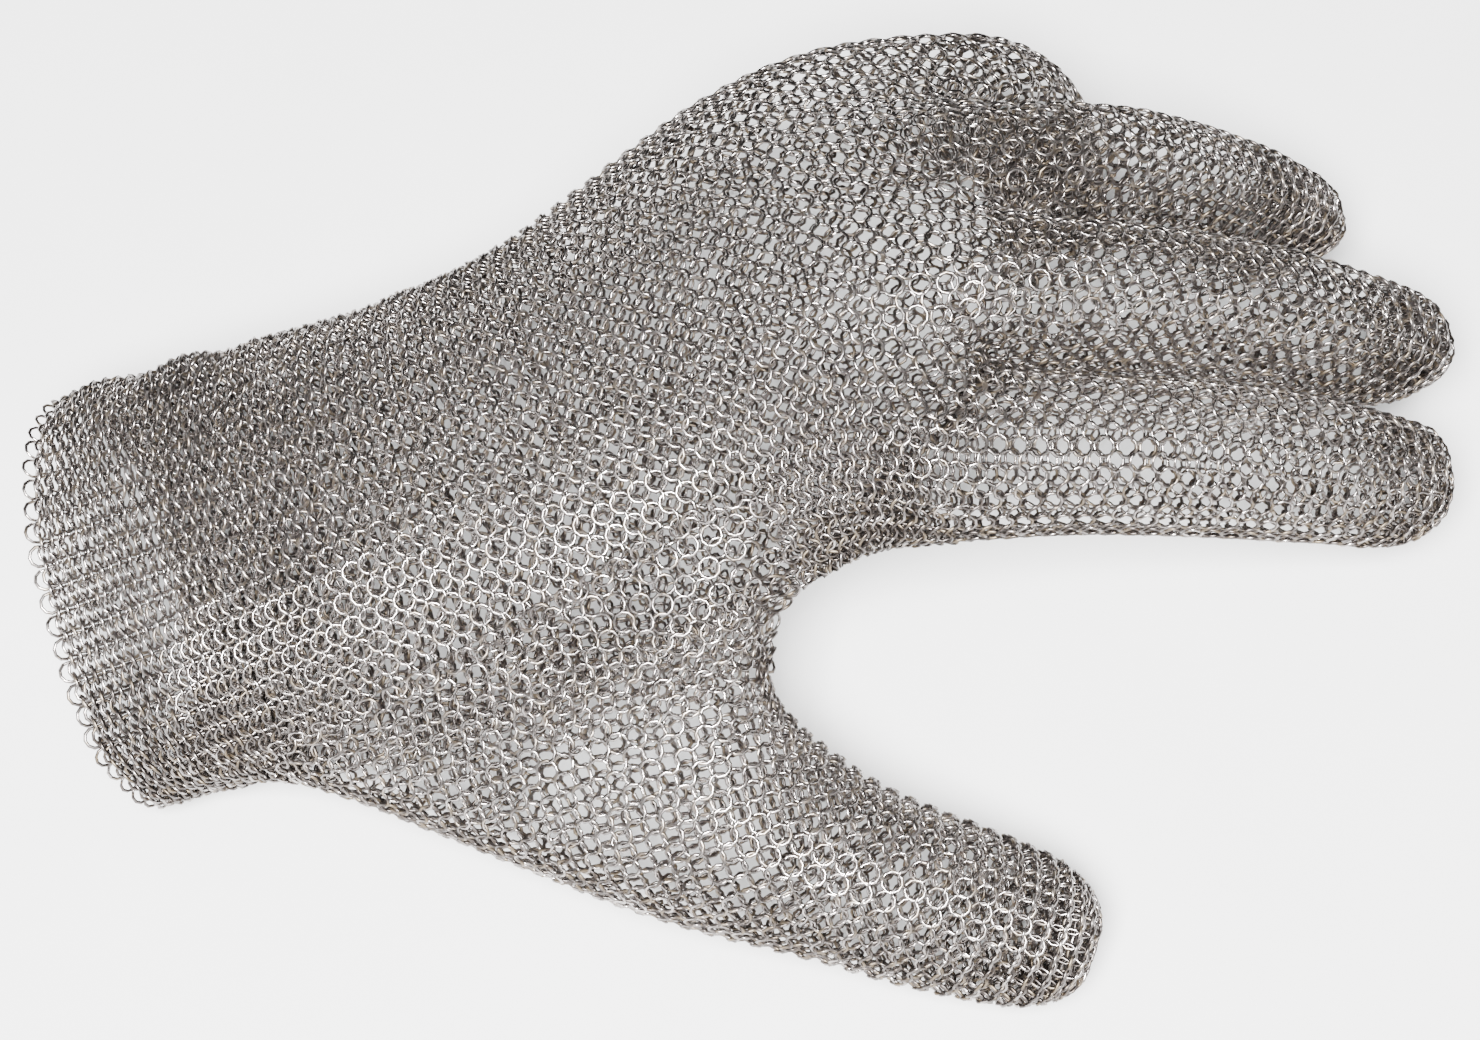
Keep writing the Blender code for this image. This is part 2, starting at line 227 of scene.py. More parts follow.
# Stage, in metres, but the lens and sensor in millimetres and the lamp in watts
FLOOR_SIZE = 6.0
FLOOR_SHADE = 0.97      # how dark the floor's grain is beside its colour
FLOOR_ROUGHNESS = 0.9
WORLD_STRENGTH = 0.04
LAMP_OFFSET = (-0.07, -0.60, 1.01)
LAMP_SIZE = 0.28
LAMP_POWER = 108.0
CAMERA_LENS = 114.93
CAMERA_SENSOR = 36.0
CAMERA_NEAR = 0.01
CAMERA_PLACE = (0.10085, -0.36747, 0.66261)
CAMERA_TURN = (math.radians(30.0), 0.0, 0.0)


def put(name, data):
    """A new object in the scene."""
    item = bpy.data.objects.new(name, data)
    bpy.context.scene.collection.objects.link(item)
    return item


def mesh_of(name, points, faces):
    """A new mesh."""
    mesh = bpy.data.meshes.new(name)
    mesh.from_pydata([tuple(point) for point in points], [], faces)
    return mesh


def unit(vector):
    """Vectors of length one."""
    vector = np.asarray(vector, float)
    return vector / np.maximum(np.linalg.norm(vector, axis=-1, keepdims=True), 1e-12)


def totals(steps):
    """What steps come to, one after the other, from 0."""
    return np.concatenate([[0.0], np.cumsum(steps)])


def lengths(line):
    """The way along a line of points to each of them."""
    return totals(np.linalg.norm(np.diff(line, axis=0), axis=1))


def read(places, known, values):
    """Rows of values at places, between the places where they are known."""
    return np.stack([np.interp(places, known, column) for column in values.T], axis=1)


def ramp(values, low, high):
    """Values read from 0 at low to 1 at high, and never less or more."""
    return np.clip((values - low) / (high - low), 0.0, 1.0)


def flattened(vectors, normals):
    """Vectors without what points along their normals."""
    return vectors - (vectors * normals).sum(axis=1, keepdims=True) * normals


def through(rows, fractions):
    """A Catmull-Rom curve through rows, read at fractions of its length."""
    rows = np.asarray(rows, float)
    before = 2 * rows[:1] - rows[1:2]
    after = 2 * rows[-1:] - rows[-2:-1]
    padded = np.concatenate([before, rows, after])
    steps = np.linalg.norm(np.diff(rows[..., :3], axis=0), axis=-1)
    length = totals(steps.reshape(len(steps), -1).mean(axis=1))
    places = []
    for place in np.asarray(fractions) * length[-1]:
        span = min(int(np.searchsorted(length, place, side="right")) - 1, len(rows) - 2)
        t = (place - length[span]) / (length[span + 1] - length[span])
        a, b, c, d = padded[span:span + 4]
        places.append(0.5 * (2 * b + (c - a) * t + (2 * a - 5 * b + 4 * c - d) * t ** 2
                             + (3 * b - a - 3 * c + d) * t ** 3))
    return np.array(places)


def section(wide, deep, fractions, arch=0.0):
    """Points (sideways, up) on a rounded section, at fractions of its girth."""
    angle = np.linspace(0.0, 2 * math.pi, SECTION_POINTS)
    side, up = [np.sign(wave) * np.abs(wave) ** (2 / SQUARENESS)
                for wave in (np.cos(angle), np.sin(angle))]
    outline = np.stack([side * wide / 2, up * deep / 2 - arch * side ** 2], axis=1)
    girth = lengths(outline)
    return read(np.mod(fractions, 1.0) * girth[-1], girth, outline)


def loop_at(row, along, sideways, fractions):
    """The section of a row as points in space, square to its direction along."""
    up = unit(np.cross(along, sideways))
    side = np.cross(up, along)
    flat = section(row[3], row[4], fractions, *row[5:6])
    return row[:3] + flat[:, :1] * side + flat[:, 1:] * up


def directions(rows):
    """The direction of a centre line at each of its rows."""
    return unit(np.gradient(rows[:, :3], axis=0))


def digit_loops(name, fractions, cells, layout):
    """Loops of a digit, from its first section to its tip."""
    rows = through(DIGITS[name], np.linspace(0.0, 1.0, cells + 1))
    rows[:, 3:5] *= EASE
    sideways = unit(SIDEWAYS[name])
    facing = directions(rows)
    if name in FINGER_NAMES:
        facing[0] = unit(facing[0] + WEB_FACING)
    loops = [loop_at(row, along, sideways, fractions) for row, along in zip(rows, facing)]
    for reach, size in layout.tip_loops:
        row = rows[-1].copy()
        row[:3] += facing[-1] * reach * row[3]
        row[3:5] *= size
        loops.append(loop_at(row, facing[-1], sideways, fractions))
    return loops


def side_cells(name, layout):
    """Cells on a finger's little-finger side and on its thumb side."""
    return (layout.side if name == "little_finger" else layout.web,
            layout.side if name == "index_finger" else layout.web)


def finger_fractions(name, layout):
    """Places of a finger's points on its girth: over the back from the thumb side, down
    the little-finger side, along the palm, and up the thumb side."""
    back = np.linspace(0.25 + layout.half_back, 0.25 - layout.half_back, layout.back + 1)
    palm = -back[::-1]
    far, near = side_cells(name, layout)
    down = np.linspace(back[-1], palm[0], far + 1)[1:-1]
    up = np.linspace(palm[-1], back[0] - 1, near + 1)[1:-1]
    return np.concatenate([back, down, palm, up])


def finger_parts(name, layout):
    """Where the back, far side, palm and near side of a finger's loop start and end."""
    far, near = side_cells(name, layout)
    ends = np.cumsum([0, layout.back + 1, far - 1, layout.back + 1, near - 1])
    return [slice(a, b) for a, b in zip(ends, ends[1:])]


class Net:
    """Points and four-sided faces, with a piece named for each face. Each face's corners
    start with its two nearest the wrist, so that they also say which way the rows run."""

    def __init__(self, layout):
        self.layout = layout
        self.points = []
        self.faces = []
        self.tags = []
        self.caps = []

    def add(self, loop):
        """Add a loop of points and return their numbers."""
        first = len(self.points)
        self.points.extend(loop)
        return list(range(first, first + len(loop)))

    def face(self, corners, piece):
        """Add a face whose corners run clockwise as seen from outside."""
        self.faces.append(corners)
        self.tags.append(PIECES.index(piece))

    def band(self, near, far, piece, skip=()):
        """Faces between two closed loops of the same count."""
        for i in range(len(near)):
            j = (i + 1) % len(near)
            if i not in skip:
                self.face((near[i], near[j], far[j], far[i]), piece)

    def tube(self, start, loops, piece):
        """Bands from an existing loop through new ones, returning the last."""
        for loop in loops:
            end = self.add(loop)
            self.band(start, end, piece)
            start = end
        return start

    def grid_cap(self, back, palm, near, far, piece):
        """Fill a loop with a grid of faces between its back and palm sides."""
        points = np.array(self.points)
        grid = np.zeros((len(near), len(back)), int)
        grid[0], grid[-1] = back, palm
        grid[:, 0], grid[:, -1] = near, far
        for i in range(1, len(near) - 1):
            for j in range(1, len(back) - 1):
                u = j / (len(back) - 1)
                v = i / (len(near) - 1)
                place = ((1 - v) * points[back[j]] + v * points[palm[j]]
                         + (1 - u) * points[near[i]] + u * points[far[i]]) / 2
                grid[i, j] = self.add([place])[0]
        for i in range(len(near) - 1):
            for j in range(len(back) - 1):
                self.caps.append(len(self.faces))
                self.face((grid[i, j], grid[i, j + 1],
                           grid[i + 1, j + 1], grid[i + 1, j]), piece)


def web_loops(layout):
    """Each finger's first loop, with neighbours sharing the line of the web between them."""
    loops = {name: digit_loops(name, finger_fractions(name, layout), DIGIT_CELLS, layout)[0]
             for name in FINGER_NAMES}
    for left, right in zip(FINGER_NAMES, FINGER_NAMES[1:]):
        far = [layout.back + k for k in range(layout.web + 1)]
        near = [-k % len(loops[right]) for k in range(layout.web + 1)]
        middle = (loops[left][far] + loops[right][near]) / 2
        loops[left][far] = middle
        loops[right][near] = middle
    return loops


def hand_loops(layout, cuff_at, hand_at):
    """Loops of cuff and hand from the rim to the webs, each from the thumb-side edge of
    the back, over the back, down the far side, along the palm and up to the start."""
    across = layout.back * len(FINGER_NAMES)
    around = 2 * across + 2 * layout.side
    fractions = 0.5 - (layout.side / 2 + np.arange(around)) / around
    rows = np.array(list(HAND.values()))
    facing = directions(rows)
    facing[-1] = unit(facing[-1] + WEB_FACING)
    loops = []
    for row, along in zip(rows, facing):
        turn = math.radians(row[6])
        loops.append(loop_at(row, along, (0.0, math.cos(turn), math.sin(turn)), fractions))
    webs = web_loops(layout)
    back = [webs["index_finger"][0]]
    palm = []
    for name in FINGER_NAMES:
        over, _, under, _ = finger_parts(name, layout)
        back.extend(webs[name][over][1:])
        palm.append(webs[name][under][:-1][::-1])
    _, far_side, _, _ = finger_parts("little_finger", layout)
    _, _, under, near_side = finger_parts("index_finger", layout)
    palm = np.concatenate([webs["index_finger"][under][-1:]] + palm)
    last = np.concatenate([np.array(back), webs["little_finger"][far_side], palm[::-1],
                           webs["index_finger"][near_side]])
    cuff = through(loops[:CUFF_END + 1], cuff_at)
    hand = through(loops[CUFF_END:] + [last], hand_at)
    return cuff, hand


def add_fingers(net, web, cells):
    """Four fingers on the last loop of the hand. Neighbours share the line of a web, and
    these lines are returned, each with the names of its fingers."""
    layout = net.layout
    n = layout.back
    across = n * len(FINGER_NAMES)
    back = web[:across + 1]
    far_side = web[across + 1:across + layout.side]
    palm = web[across + layout.side:2 * across + layout.side + 1][::-1]
    near_side = web[2 * across + layout.side + 1:]
    webs = web_loops(layout)
    lines = [net.add(webs[name][n + 1:n + layout.web]) for name in FINGER_NAMES[:-1]]
    for i, name in enumerate(FINGER_NAMES):
        over = back[i * n:i * n + n + 1]
        under = palm[i * n:i * n + n + 1][::-1]
        down = far_side if name == "little_finger" else lines[i]
        up = near_side if name == "index_finger" else lines[i - 1][::-1]
        loops = digit_loops(name, finger_fractions(name, layout), cells[name], layout)[1:]
        end = net.tube(over + down + under + up, loops, name)
        close_finger(net, end, name)
    return [(left, right, [back[(i + 1) * n]] + lines[i] + [palm[(i + 1) * n]])
            for i, (left, right) in enumerate(zip(FINGER_NAMES, FINGER_NAMES[1:]))]


def close_finger(net, end, name):
    """Faces over a fingertip, from the back to the palm."""
    over, far, under, near = [end[part] for part in finger_parts(name, net.layout)]
    near = [over[0]] + near[::-1] + [under[-1]]
    far = [over[-1]] + far + [under[0]]
    under = under[::-1]
    if len(near) == len(far):
        net.grid_cap(over, under, near, far, name)
        return
    for i in range(len(over) - 1):
        net.face((over[i], over[i + 1], under[i + 1], under[i]), name)
    if len(near) > 2:
        net.face((over[0], under[0], near[1]), name)
    if len(far) > 2:
        net.face((over[-1], far[1], under[-1]), name)


def close_thumb(net, end, wide, deep):
    """Faces over the thumb's tip, on a loop with so many cells on its back and its sides."""
    end = end + end[:1]
    corners = np.cumsum([0, wide, deep, wide, deep])
    back, web, palm, outer = [end[a:b + 1] for a, b in zip(corners, corners[1:])]
    net.grid_cap(back, palm[::-1], outer[::-1], web, "thumb")


def add_thumb(net, loops):
    """The cage's gusset and thumb, on the edge of the opening in the hand."""
    long_side = len(loops) - 1
    count = len(loops[0])
    opening = [i % count for i in OPENING_CELLS]
    short_side = len(opening)
    back_edge = [loop[opening[-1] + 1] for loop in loops]
    palm_edge = [loop[opening[0]] for loop in loops][::-1]
    web_edge = [loops[-1][i] for i in opening[:0:-1]]
    wrist_edge = [loops[0][i] for i in opening[1:]]
    edge = back_edge + web_edge + palm_edge + wrist_edge
    fractions = (long_side + short_side / 2 - np.arange(len(edge))) / len(edge)
    loops = digit_loops("thumb", fractions, DIGIT_CELLS, net.layout)
    rim = np.array([net.points[i] for i in edge])
    gusset = [rim + (loops[0] - rim) * (k + 1) / GUSSET_CELLS for k in range(GUSSET_CELLS - 1)]
    close_thumb(net, net.tube(edge, gusset + loops, "thumb"), long_side, short_side)


def placed(points):
    """Points in metres, with the centre of the wrist opening at the origin."""
    return (np.array(points) - HAND["rim"][:3]) * MM


@functools.lru_cache(maxsize=None)
def middle_layer():
    """The middle of the mail's thickness, as points in metres, their normals, faces and
    the number of each face's piece."""
    net = Net(CAGE)
    cuff, hand = hand_loops(CAGE, CUFF_LOOPS, HAND_LOOPS)
    start = net.tube(net.add(cuff[0]), cuff[1:], "cuff")
    loops = [start]
    opening = [i % len(start) for i in OPENING_CELLS]
    for row, loop in enumerate(hand[1:]):
        loops.append(net.add(loop))
        beside_thumb = OPENING_LOOPS[0] <= row < OPENING_LOOPS[1]
        net.band(loops[-2], loops[-1], "hand", skip=opening if beside_thumb else ())
    add_fingers(net, loops[-1], {name: DIGIT_CELLS for name in FINGER_NAMES})
    add_thumb(net, loops[OPENING_LOOPS[0]:OPENING_LOOPS[1] + 1])
    mesh = mesh_of("cage", placed(net.points), [face[::-1] for face in net.faces])
    for _ in PIECES:
        mesh.materials.append(None)
    mesh.polygons.foreach_set("material_index", net.tags)
    cage = put("cage", mesh)
    smooth = cage.modifiers.new("smooth", "SUBSURF")
    smooth.levels = SKIN_DETAIL
    smooth.render_levels = SKIN_DETAIL
    bpy.context.view_layer.update()
    result = cage.evaluated_get(bpy.context.evaluated_depsgraph_get()).to_mesh()
    points = np.array([v.co[:] for v in result.vertices])
    normals = np.array([v.normal[:] for v in result.vertices])
    faces = [tuple(p.vertices) for p in result.polygons]
    tags = np.array([p.material_index for p in result.polygons])
    bpy.data.objects.remove(cage)
    bpy.data.meshes.remove(mesh)
    return points - normals * WALL / 2 * MM, normals, faces, tags


def layer_tree(pieces=PIECES):
    """A search tree of the middle layer of the named pieces, and the number of the piece
    of each of its faces."""
    points, _, faces, tags = middle_layer()
    kept = [i for i, tag in enumerate(tags) if PIECES[tag] in pieces]
    tree = BVHTree.FromPolygons([tuple(p) for p in points], [faces[i] for i in kept])
    return tree, tags[kept]


def on_layer(tree, points):
    """The nearest places on a layer, their normals and their faces."""
    places, normals, faces, _ = zip(*(tree.find_nearest(Vector(p)) for p in points))
    return np.array(places), np.array(normals), np.array(faces)


def edges_of(faces):
    """The edges of a net, as pairs of points."""
    return np.array(sorted({tuple(sorted((f[k], f[(k + 1) % 4])))
                            for f in faces.tolist() for k in range(4)}))


def eased(values, edges):
    """Values halfway to the mean of their neighbours'."""
    total = np.zeros_like(values)
    np.add.at(total, edges[:, 0], values[edges[:, 1]])
    np.add.at(total, edges[:, 1], values[edges[:, 0]])
    count = np.maximum(np.bincount(edges.ravel(), minlength=len(values)), 1)
    return (values + total / count.reshape((-1,) + (1,) * (values.ndim - 1))) / 2


def settle(points, faces, held, layers):
    """Even out a net: each point that isn't held moves towards the middle of its
    neighbours, and stays on its own layer. Layers are pairs of a search tree and the
    points that lie on it."""
    edges = edges_of(faces)
    layers = [(tree, members[~held[members]]) for tree, members in layers]
    for tree, free in layers:
        points[free] = on_layer(tree, points[free])[0]
    for _ in range(SETTLE_ROUNDS):
        moved = eased(points, edges)
        for tree, free in layers:
            points[free] = on_layer(tree, moved[free])[0]
    return points


def web_line(left, right, places):
    """Points of the middle layer along the web between two fingers, from back to palm."""
    points, _, faces, tags = middle_layer()
    owners = {}
    for face, tag in zip(faces, tags):
        for i in face:
            owners.setdefault(i, set()).add(PIECES[tag])
    shared = [i for i, names in owners.items() if {left, right} <= names]
    line = points[shared]
    line = line[np.argsort(-line[:, 2])]
    length = lengths(line)
    return read(places * length[-1], length, line)


def length_of(loops):
    """The mean length of the lines that join loops."""
    return np.linalg.norm(np.diff(np.array(loops), axis=0), axis=2).mean(axis=1).sum()


def digit_length(name):
    """Length of a digit's centre line, from its first section to its last."""
    return lengths(np.array(DIGITS[name])[:, :3])[-1]


def cells_along(length, pitch):
    """How many whole cells of a pitch fit a length."""
    return max(2, round(length / pitch))


def rows_along(length, pitch, profile):
    """Fractions of a length for rows of weave, where the profile gives the part of a pitch
    that a row takes at some of the fractions."""
    fine = np.linspace(0.0, 1.0, FINE_ROWS)
    density = 1 / np.interp(fine, *zip(*profile))
    passed = totals((density[1:] + density[:-1]) / 2)
    cells = cells_along(length * density.mean(), pitch)
    return np.interp(np.linspace(0.0, passed[-1], cells + 1), passed, fine)


# A sheet of weave. A ring hangs on each of its corners and on the middle of each face, and
# only those rings are made that lie over the sheet's own pieces.
Sheet = namedtuple("Sheet", "points faces caps used pieces")


@functools.lru_cache(maxsize=None)
def body_sheet(pitch):
    """The sheet of cuff, hand and fingers, with rows a pitch apart in metres."""
    step = pitch / MM
    fine = np.linspace(0.0, 1.0, FINE_LOOPS)
    cuff, hand = hand_loops(WEAVE, fine, fine)
    cuff_rows = rows_along(length_of(cuff), step, CUFF_PITCH)
    hand_rows = rows_along(length_of(hand), step, HAND_PITCH)
    rim = RIM_INSET * step / length_of(cuff)
    cuff, hand = hand_loops(WEAVE, rim + (1 - rim) * cuff_rows, hand_rows)
    net = Net(WEAVE)
    first = net.add(cuff[0])
    start = net.tube(first, cuff[1:], "cuff")
    web = net.tube(start, hand[1:], "hand")
    cells = {name: cells_along(digit_length(name), DIGIT_PITCH * step)
             for name in FINGER_NAMES}
    lines = add_fingers(net, web, cells)

    points = placed(net.points)
    faces = np.array(net.faces)
    owner = np.full(len(points), len(PIECES))
    np.minimum.at(owner, faces, np.array(net.tags)[:, None])
    everywhere, piece_of = layer_tree()
    in_opening = piece_of[on_layer(everywhere, points)[2]] == PIECES.index("thumb")
    in_opening &= owner <= PIECES.index("hand")
    beside = np.isin(faces, np.flatnonzero(in_opening)).any(axis=1)
    held = np.zeros(len(points), bool)
    held[faces[beside].ravel()] = True
    held[first] = True
    points[held] = on_layer(everywhere, points[held])[0]
    for left, right, line in lines:
        points[line] = web_line(left, right, np.linspace(0.0, 1.0, len(line)))
        held[line] = True
    others = tuple(name for name in PIECES if name != "thumb")
    layers = [(layer_tree(others)[0], np.flatnonzero(owner <= PIECES.index("hand")))]
    for name in FINGER_NAMES:
        layers.append((layer_tree(("hand", name))[0],
                       np.flatnonzero(owner == PIECES.index(name))))
    points = settle(points, faces, held, layers)
    return Sheet(points, faces, net.caps, np.ones(len(points), bool), others)


@functools.lru_cache(maxsize=None)
def thumb_sheet(pitch):
    """The sheet of the thumb and its gusset. Its rows run back from the thumb over the
    gusset, and it ends where the hand's sheet begins."""
    step = pitch / MM
    around = 2 * (THUMB_BACK + THUMB_SIDE)
    fractions = 0.25 + (THUMB_BACK / 2 - np.arange(around)) / around
    cells = cells_along(digit_length("thumb"), DIGIT_PITCH * step)
    tube = list(placed(digit_loops("thumb", fractions, cells, WEAVE)))
    tree, piece_of = layer_tree()
    own = PIECES.index("thumb")
    place, normal, _ = on_layer(tree, tube[0])
    heading = unit(place - on_layer(tree, tube[1])[0])
    inside = np.ones(around, bool)
    loops, kept = [], []
    while inside.any() and len(loops) < GUSSET_ROWS:
        heading = heading + (np.roll(heading, 1, axis=0) + np.roll(heading, -1, axis=0)) / 2
        heading = unit(flattened(heading, normal))
        previous = place
        place, normal, face = on_layer(tree, place + heading * pitch)
        heading = unit(place - previous)
        kept.append(inside)
        inside = inside & (piece_of[face] == own)
        loops.append(place)
    net = Net(WEAVE)
    first, *rest = loops[::-1] + tube
    close_thumb(net, net.tube(net.add(first), rest, "thumb"), THUMB_BACK, THUMB_SIDE)

    points = np.array(net.points)
    faces = np.array(net.faces)
    used = np.ones(len(points), bool)
    used[:len(loops) * around] = np.concatenate(kept[::-1])
    held = ~used
    held[faces[~used[faces].all(axis=1)].ravel()] = True
    points = settle(points, faces, held, [(layer_tree(("thumb",))[0], np.arange(len(points)))])
    return Sheet(points, faces, net.caps, used, ("thumb",))


def puckered(place, outward):
    """Places and ways out of mail that hangs loose over the wrist and puckers a little."""

    def height(points):
        loose = 1 - ramp(points[:, 0] / MM, PUCKER_FROM, PUCKER_TO)
        size = PUCKER_REST + (PUCKER_HEIGHT - PUCKER_REST) * loose
        waves = [noise.noise(Vector(p) / (PUCKER_LENGTH * MM)) for p in points]
        return size * MM * np.array(waves)

    step = PUCKER_STEP * MM
    slope = np.stack([(height(place + step * axis) - height(place - step * axis)) / (2 * step)
                      for axis in np.eye(3)], axis=1)
    return place + outward * height(place)[:, None], unit(outward - flattened(slope, outward))


# Rings by their place, the way out of the mail, the way along its rows, their lean, how
# clean they are rubbed (0 is as usual, 1 is bright), painted shade on the sides and palm below 0,
# and their piece
Rings = namedtuple("Rings", "place outward along lean rubbed piece")


def lean_of(long_side, wide_side, mean_radius, wire):
    """How far a ring leans in its cell: as flat as the rings that it holds let it lie."""
    thick = wire / mean_radius
    part = wide_side / (2 * mean_radius)
    reach = np.clip((part ** 2 + 2 * thick - thick ** 2) / (2 * part), 0.0, 0.999)
    room = 4 * mean_radius * np.sqrt(1 - reach ** 2)
    lean = LEAN_SLACK * np.arccos(np.clip(long_side / room, 0.0, 1.0))
    return np.clip(lean, math.radians(LEAN_LEAST), math.radians(LEAN_MOST))


def extra_rings(parts):
    """Rings of the faces that are woven as several side by side, as rows of (face, share
    along it, share across it, lean ahead or back)."""
    extra = []
    for face in np.flatnonzero(parts > 1):
        n = parts[face]
        extra += [(face, 0.0, k / n, 1) for k in range(1, n)]
        extra += [(face, 0.5, (k + 0.5) / n, -1) for k in range(n)]
    return np.array(extra)


def rings_of(sheet, mean_radius, wire):
    """The rings of a sheet: one on each corner, leaning ahead, and one on each face,
    leaning back, with more on its wide faces."""
    faces = sheet.faces
    a, b, c, d = sheet.points[faces].transpose(1, 0, 2)
    along = (c + d - a - b) / 2
    around = (b + c - a - d) / 2
    long_side, wide_side = [np.linalg.norm(side, axis=1) for side in (along, around)]
    weight = np.ones(len(faces))
    weight[sheet.caps] = CAP_WEIGHT
    measures = np.stack([long_side, wide_side, np.ones(len(faces))], axis=1) * weight[:, None]
    first = np.full(len(sheet.points), len(faces) - 1)
    np.minimum.at(first, faces, np.arange(len(faces))[:, None])
    corner_along = np.zeros((len(first), 3))
    corner_measures = np.zeros((len(first), 3))
    for at in faces.T:
        sign = np.where((along * along[first[at]]).sum(axis=1) < 0, -1.0, 1.0)
        np.add.at(corner_along, at, along * (weight * sign)[:, None])
        np.add.at(corner_measures, at, measures)
    corner_measures /= np.maximum(corner_measures[:, 2:], 1e-9)
    lean = lean_of(corner_measures[:, 0], corner_measures[:, 1], mean_radius, wire)
    edges = edges_of(faces)
    for _ in range(LEAN_ROUNDS):
        lean = eased(lean, edges)
    parts = np.ceil(wide_side / (WIDE_CELL * MM)).astype(int)
    extra = extra_rings(parts)
    own = extra[:, 0].astype(int)
    ahead, across = extra[:, 1, None], extra[:, 2, None]
    near = a[own] * (1 - across) + b[own] * across
    far = d[own] * (1 - across) + c[own] * across
    extra_lean = lean_of(long_side[own], wide_side[own] / parts[own], mean_radius, wire)
    middle = sheet.points[faces].mean(axis=1)
    place = np.concatenate([sheet.points, middle, near * (1 - ahead) + far * ahead])
    along = np.concatenate([corner_along, along, along[own]])
    lean = np.concatenate([lean, -lean[faces].mean(axis=1), extra_lean * extra[:, 3]])
    whole = sheet.used[faces].all(axis=1)
    used = np.concatenate([sheet.used, whole & (parts == 1), whole[own]])

    tree, piece_of = layer_tree()
    place, outward, face = on_layer(tree, place)
    piece = piece_of[face]
    used &= np.isin(piece, [PIECES.index(name) for name in sheet.pieces])
    gap = np.linalg.norm(place[:, None] - seam()[0][None], axis=2).min(axis=1)
    used &= gap > SEAM_CLEAR * MM
    back = (outward[:, 2] > 0) & (piece == PIECES.index("hand"))
    taut = np.where(back, 1 - ramp(gap, 0.0, TAUT_REACH * MM), 0.0)
    lean = lean * (1 - TAUT_FLATNESS * np.sqrt(taut))
    past_wrist = ramp(place[:, 0], 0.0, WRIST_END * MM) ** 2
    # Rings whose normals turn away from up, on the sides and the palm, get painted shade: a value
    # below 0 that makes their steel duller and darker.
    side_shade = ramp(outward[:, 2], SIDE_TOP, SIDE_LOW)
    rubbed = np.maximum(np.sqrt(taut), RUBBED_BACK * past_wrist)
    rubbed = rubbed * (1 - side_shade) - SIDE_SHADE * side_shade
    place, outward = puckered(place, outward)
    along = unit(flattened(along, outward))
    return Rings(*[values[used] for values in (place, outward, along, lean, rubbed, piece)])


@functools.lru_cache(maxsize=None)
def seam():
    """The closed line between the thumb's gusset and the hand, on the middle layer, with
    its normals, at even steps."""
    points, normals, faces, tags = middle_layer()
    sides = {}
    for face, tag in zip(faces, tags):
        for a, b in zip(face, face[1:] + face[:1]):
            sides.setdefault((min(a, b), max(a, b)), set()).add(PIECES[tag])
    following = {}
    for (a, b), names in sides.items():
        if names == {"hand", "thumb"}:
            following.setdefault(a, []).append(b)
            following.setdefault(b, []).append(a)
    start = min(following)
    order = [start, following[start][0]]
    while order[-1] != start:
        order.append(next(i for i in following[order[-1]] if i != order[-2]))
    line = points[order]
    length = lengths(line)
    count = 2 * round(length[-1] / (2 * SEAM_PITCH * MM))
    places = np.arange(count) * length[-1] / count
    return read(places, length, line), read(places, length, normals[order])


def seam_rings():
    """A row of rings along the seam, leaning to the thumb and to the hand in turn."""
    place, outward = seam()
    ahead = np.roll(place, -1, axis=0) - np.roll(place, 1, axis=0)
    across = unit(np.cross(ahead, outward))
    lean = math.radians(SEAM_LEAN) * np.where(np.arange(len(place)) % 2, 1.0, -1.0)
    return Rings(place, unit(outward), across, lean, np.zeros(len(place)),
                 np.full(len(place), PIECES.index("thumb")))


def operator(operation, swapped=False):
    """An operator that adds a Math node for its two sides."""

    def joined(self, other):
        sides = (other, self) if swapped else (self, other)
        return self.nodes.value("ShaderNodeMath", {"operation": operation},
                                dict(enumerate(sides)))

    return joined


class Value:
    """A socket in an expression."""

    def __init__(self, nodes, socket):
        self.nodes = nodes
        self.socket = socket

    __add__ = operator("ADD")
    __sub__ = operator("SUBTRACT")
    __rsub__ = operator("SUBTRACT", swapped=True)
    __mul__ = operator("MULTIPLY")
    __truediv__ = operator("DIVIDE")


class Nodes:
    """Adds nodes to a tree."""

    def __init__(self, tree):
        self.tree = tree

    def add(self, kind, settings, sockets):
        """A node of a type. Its settings are made first, then its sockets are given their
        values or links, by name or by number."""
        node = self.tree.nodes.new(kind)
        for name, value in settings.items():
            setattr(node, name, value)
        for key, value in sockets.items():
            if isinstance(value, Value):
                value = value.socket
            if isinstance(value, bpy.types.NodeSocket):
                self.tree.links.new(value, node.inputs[key])
            else:
                node.inputs[key].default_value = value
        return node

    def value(self, kind, settings, sockets, output=0):
        """The output of a new node, for use in an expression."""
        return Value(self, self.add(kind, settings, sockets).outputs[output])

    def spread(self, value, low, high):
        """A value read from 0 at low to 1 at high."""
        return self.value("ShaderNodeMapRange", {}, {
            "Value": value, "From Min": low, "From Max": high, "To Min": 0.0, "To Max": 1.0})

    def noise(self, place, scale, detail):
        """Noise at a place, with a scale in cells per metre."""
        return self.value("ShaderNodeTexNoise", {}, {
            "Vector": place, "Scale": scale, "Detail": detail, "Roughness": NOISE_ROUGHNESS})

    def pattern(self, place, kind):
        """Noise of a kind at a place, spread from 0 to 1."""
        return self.spread(self.noise(place, kind.scale, kind.detail), kind.low, kind.high)

    def colour(self, mask, without, with_mask):
        """A colour mixed by a mask from two colours or colour sockets."""
        return self.value("ShaderNodeMix", {"data_type": "RGBA"},
                          {0: mask, 6: without, 7: with_mask}, 2)

    def surface(self, sockets):
        """A material's surface shader, with values or links for its sockets."""
        shader = self.value("ShaderNodeBsdfPrincipled", {}, sockets)
        self.add("ShaderNodeOutputMaterial", {}, {"Surface": shader})


def new_material(name):
    """An empty material and its nodes."""
    material = bpy.data.materials.new(name)
    material.use_nodes = True
    material.node_tree.nodes.clear()
    return material, Nodes(material.node_tree)


